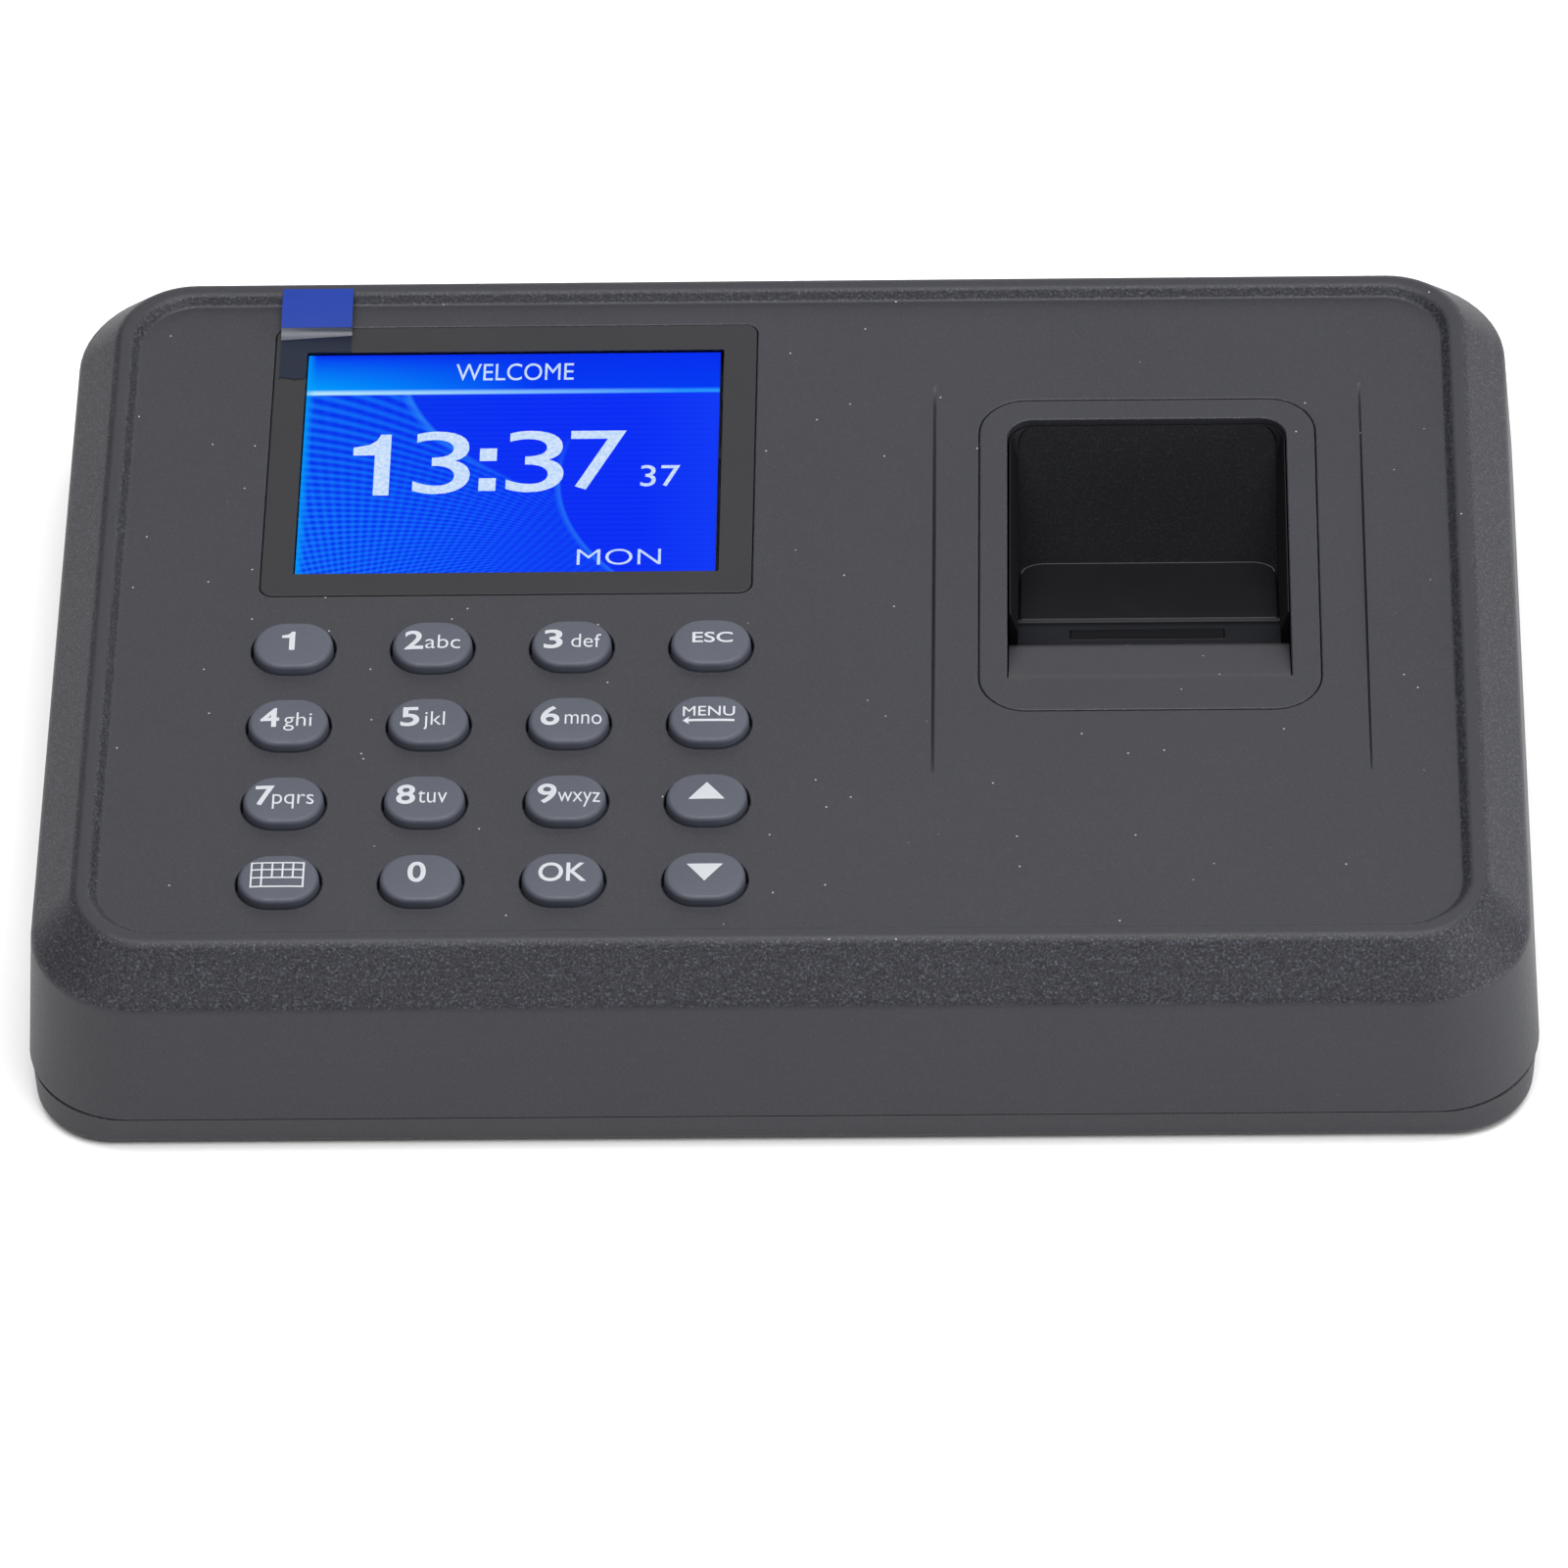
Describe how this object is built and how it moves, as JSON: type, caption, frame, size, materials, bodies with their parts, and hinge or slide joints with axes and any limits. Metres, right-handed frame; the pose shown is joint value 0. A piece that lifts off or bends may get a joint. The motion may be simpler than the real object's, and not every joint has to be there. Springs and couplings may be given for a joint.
{
  "type": "fingerprint scanner terminal",
  "caption": "Low rectangular access terminal with a flush colour display, a rubber-domed number keypad and a recessed finger well with a sloping optical sensor.",
  "frame": {"origin": "centre of the bounding box's bottom face, on the ground under the four rubber feet", "axes": "+X to the right along the long side, +Y towards the back edge, which is the upper edge on a wall, +Z out of the front face"},
  "size_m": [0.1722, 0.1204, 0.0282],
  "materials": {
    "front_plastic": "fine moulded texture, graphite grey",
    "rear_plastic": "fine moulded texture, graphite grey",
    "key_plastic": "satin blue-grey with white printed legends",
    "black_plastic": "satin black",
    "window_acrylic": "clear acrylic with a dark grey printed border",
    "film_blue": "thin blue and clear film",
    "lcd_glass": "lit display",
    "sensor_glass": "polished dark glass",
    "detect_window": "dark translucent strip",
    "prism_glass": "polished clear glass",
    "silicone": "grey silicone",
    "board_green": "solder mask",
    "chip_black": "moulded black",
    "connector_metal": "nickel plated",
    "cell_steel": "bright steel",
    "socket_plastic": "off-white plastic",
    "flex_film": "polyimide film",
    "speaker_cone": "black paper and steel",
    "screw_steel": "black zinc plated",
    "foot_rubber": "black rubber"
  },
  "bodies": {
    "casing": {"front_housing": "front_plastic", "rear_cover": "rear_plastic", "scanner_bezel": "front_plastic", "scanner_well": "black_plastic", "sensor_window": "sensor_glass", "finger_detect_window": "detect_window", "sensor_prism": "prism_glass", "sensor_camera": "chip_black", "sensor_board": "board_green", "sensor_flex_cable": "flex_film", "display_window": "window_acrylic", "window_film_tab": "film_blue", "lcd_panel": "lcd_glass", "lcd_backlight": "socket_plastic", "lcd_flex_cable": "flex_film", "keypad_membrane": "silicone", "main_board": "board_green", "processor_chip": "chip_black", "memory_chip": "chip_black", "coin_cell": "cell_steel", "coin_cell_holder": "chip_black", "usb_port": "connector_metal", "usb_tongue": "socket_plastic", "dc_jack": "chip_black", "dc_jack_pin": "connector_metal", "speaker": "speaker_cone", "casing_screw_1": "screw_steel", "casing_screw_2": "screw_steel", "casing_screw_3": "screw_steel", "casing_screw_4": "screw_steel", "casing_screw_5": "screw_steel", "casing_screw_6": "screw_steel", "board_screw_1": "screw_steel", "rubber_foot_1": "foot_rubber", "board_screw_2": "screw_steel", "rubber_foot_2": "foot_rubber", "board_screw_3": "screw_steel", "rubber_foot_3": "foot_rubber", "board_screw_4": "screw_steel", "rubber_foot_4": "foot_rubber", "well_screw_left": "screw_steel", "well_screw_right": "screw_steel"},
    "key_1": {"key_1": "key_plastic"},
    "key_2": {"key_2": "key_plastic"},
    "key_3": {"key_3": "key_plastic"},
    "key_esc": {"key_esc": "key_plastic"},
    "key_4": {"key_4": "key_plastic"},
    "key_5": {"key_5": "key_plastic"},
    "key_6": {"key_6": "key_plastic"},
    "key_menu": {"key_menu": "key_plastic"},
    "key_7": {"key_7": "key_plastic"},
    "key_8": {"key_8": "key_plastic"},
    "key_9": {"key_9": "key_plastic"},
    "key_up": {"key_up": "key_plastic"},
    "key_input": {"key_input": "key_plastic"},
    "key_0": {"key_0": "key_plastic"},
    "key_ok": {"key_ok": "key_plastic"},
    "key_down": {"key_down": "key_plastic"}
  },
  "joints": [
    {"name": "key_1_press", "type": "slide", "parent": "casing", "child": "key_1", "axis": [0, 0, -1], "range_m": [0, 0.0008], "stiffness_N_per_m": 600},
    {"name": "key_2_press", "type": "slide", "parent": "casing", "child": "key_2", "axis": [0, 0, -1], "range_m": [0, 0.0008], "stiffness_N_per_m": 600},
    {"name": "key_3_press", "type": "slide", "parent": "casing", "child": "key_3", "axis": [0, 0, -1], "range_m": [0, 0.0008], "stiffness_N_per_m": 600},
    {"name": "key_esc_press", "type": "slide", "parent": "casing", "child": "key_esc", "axis": [0, 0, -1], "range_m": [0, 0.0008], "stiffness_N_per_m": 600},
    {"name": "key_4_press", "type": "slide", "parent": "casing", "child": "key_4", "axis": [0, 0, -1], "range_m": [0, 0.0008], "stiffness_N_per_m": 600},
    {"name": "key_5_press", "type": "slide", "parent": "casing", "child": "key_5", "axis": [0, 0, -1], "range_m": [0, 0.0008], "stiffness_N_per_m": 600},
    {"name": "key_6_press", "type": "slide", "parent": "casing", "child": "key_6", "axis": [0, 0, -1], "range_m": [0, 0.0008], "stiffness_N_per_m": 600},
    {"name": "key_menu_press", "type": "slide", "parent": "casing", "child": "key_menu", "axis": [0, 0, -1], "range_m": [0, 0.0008], "stiffness_N_per_m": 600},
    {"name": "key_7_press", "type": "slide", "parent": "casing", "child": "key_7", "axis": [0, 0, -1], "range_m": [0, 0.0008], "stiffness_N_per_m": 600},
    {"name": "key_8_press", "type": "slide", "parent": "casing", "child": "key_8", "axis": [0, 0, -1], "range_m": [0, 0.0008], "stiffness_N_per_m": 600},
    {"name": "key_9_press", "type": "slide", "parent": "casing", "child": "key_9", "axis": [0, 0, -1], "range_m": [0, 0.0008], "stiffness_N_per_m": 600},
    {"name": "key_up_press", "type": "slide", "parent": "casing", "child": "key_up", "axis": [0, 0, -1], "range_m": [0, 0.0008], "stiffness_N_per_m": 600},
    {"name": "key_input_press", "type": "slide", "parent": "casing", "child": "key_input", "axis": [0, 0, -1], "range_m": [0, 0.0008], "stiffness_N_per_m": 600},
    {"name": "key_0_press", "type": "slide", "parent": "casing", "child": "key_0", "axis": [0, 0, -1], "range_m": [0, 0.0008], "stiffness_N_per_m": 600},
    {"name": "key_ok_press", "type": "slide", "parent": "casing", "child": "key_ok", "axis": [0, 0, -1], "range_m": [0, 0.0008], "stiffness_N_per_m": 600},
    {"name": "key_down_press", "type": "slide", "parent": "casing", "child": "key_down", "axis": [0, 0, -1], "range_m": [0, 0.0008], "stiffness_N_per_m": 600}
  ]
}
